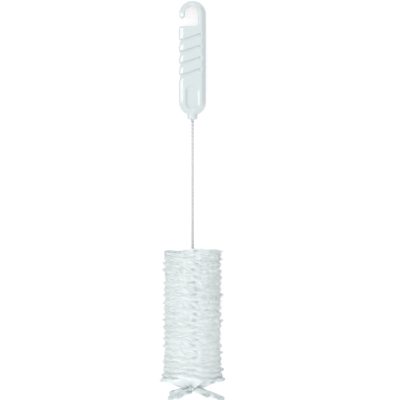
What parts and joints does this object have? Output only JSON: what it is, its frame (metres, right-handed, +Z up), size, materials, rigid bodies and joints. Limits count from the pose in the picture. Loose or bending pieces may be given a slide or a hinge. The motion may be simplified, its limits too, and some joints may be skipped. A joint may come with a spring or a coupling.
{
  "type": "bottle brush",
  "caption": "Bottle brush with a flat moulded handle and hanging hook, a twisted wire stem and a cylindrical nylon head with a splayed end tuft.",
  "frame": {"origin": "on the surface that the brush lies on, under the middle of its box", "axes": "+Y along the brush towards its hook, +X to the side that the hook's closed bar is on, +Z up, out of the handle's face with the thumb recess"},
  "size_m": [0.068, 0.4029, 0.0762],
  "materials": {
    "handle": "glossy white moulded polypropylene",
    "wire": "bright galvanised steel wire, twisted",
    "bristles": "clear white nylon filaments in ruffled rows"
  },
  "bodies": {
    "root": {"handle": "handle", "core_wire": "wire", "bristle_head": "bristles", "end_tuft": "bristles"}
  },
  "joints": []
}
